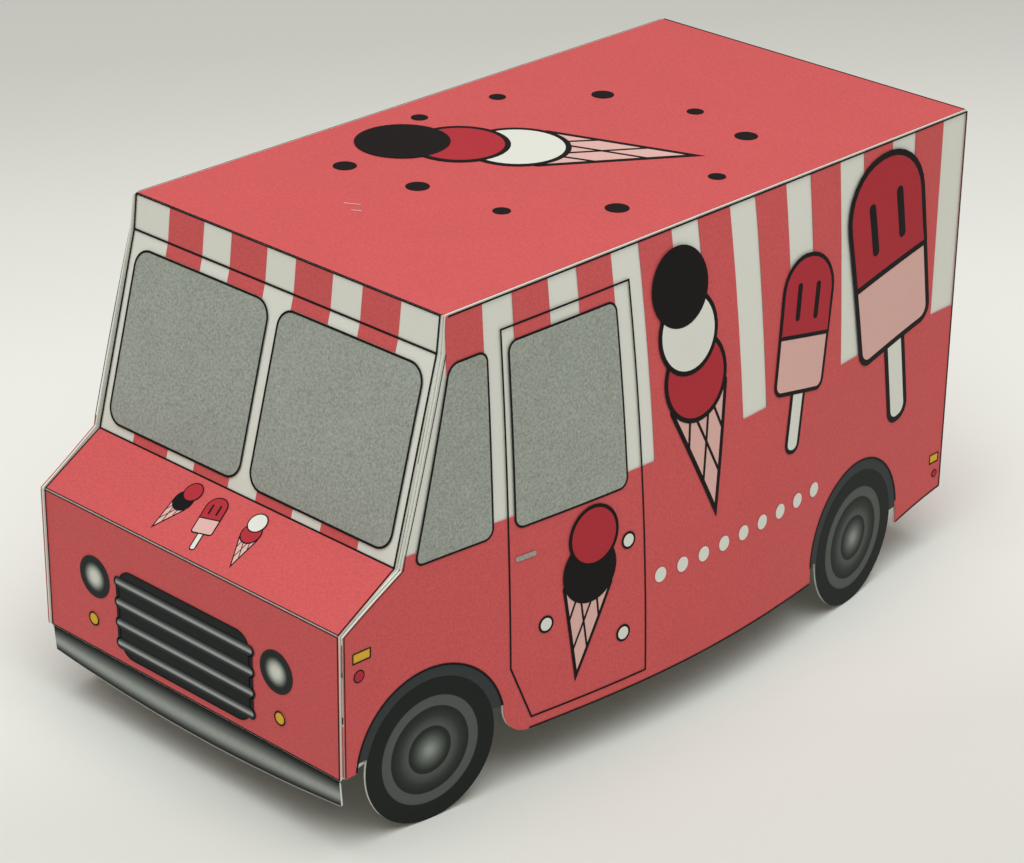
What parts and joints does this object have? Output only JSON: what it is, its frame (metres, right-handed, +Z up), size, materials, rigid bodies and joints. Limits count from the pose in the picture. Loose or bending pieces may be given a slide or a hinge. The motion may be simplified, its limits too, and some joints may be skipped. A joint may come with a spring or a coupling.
{
  "type": "folded card model of an ice cream truck",
  "caption": "Folded and glued paper model of a step-van ice cream truck, printed in red with white stripes, open underneath, with wheels cut in one with its sides and a free bumper flap.",
  "frame": {"origin": "on the ground under the middle of the model's box", "axes": "+Z up, the truck's front faces -Y, its own left side is +X"},
  "size_m": [0.0852, 0.1496, 0.0841],
  "materials": {
    "card": "uncoated white card, white core at the cut edges",
    "red_ink": "matt inkjet print",
    "window_ink": "matt inkjet print",
    "dark_ink": "matt inkjet print",
    "tyre_ink": "matt inkjet print",
    "metal_look_ink": "matt inkjet print with grey gradients",
    "lamp_ink": "matt inkjet print with a soft glow",
    "lamp_red_ink": "matt inkjet print",
    "yellow_ink": "matt inkjet print"
  },
  "bodies": {
    "body": {"bonnet": "card", "bonnet_red_print": "red_ink", "front": "card", "front_red_print": "red_ink", "grille_bar_print": "metal_look_ink", "grille_print": "dark_ink", "header": "card", "header_stripe_print": "red_ink", "headlamp_print": "lamp_ink", "indicator_print": "yellow_ink", "left_arch_print": "dark_ink", "left_bonnet_tab": "card", "left_front_tab": "card", "left_header_tab": "card", "left_marker_print": "yellow_ink", "left_rear_tab": "card", "left_red_print": "red_ink", "left_side": "card", "left_tyre_print": "tyre_ink", "left_window_print": "window_ink", "left_windscreen_tab": "card", "rear": "card", "rear_lamp_print": "lamp_red_ink", "rear_red_print": "red_ink", "rear_window_print": "window_ink", "right_arch_print": "dark_ink", "right_bonnet_tab": "card", "right_front_tab": "card", "right_header_tab": "card", "right_marker_print": "yellow_ink", "right_rear_tab": "card", "right_red_print": "red_ink", "right_side": "card", "right_tyre_print": "tyre_ink", "right_window_print": "window_ink", "right_windscreen_tab": "card", "roof": "card", "roof_red_print": "red_ink", "windscreen": "card", "windscreen_pane_print": "window_ink", "windscreen_stripe_print": "red_ink"},
    "bumper_flap": {"bumper": "card", "bumper_print": "metal_look_ink"}
  },
  "joints": [
    {"name": "bumper_fold", "type": "hinge", "parent": "body", "child": "bumper_flap", "pos_m": [0, -0.07415, 0.0134], "axis": [-1, 0, 0], "range_deg": [-15, 75]}
  ]
}
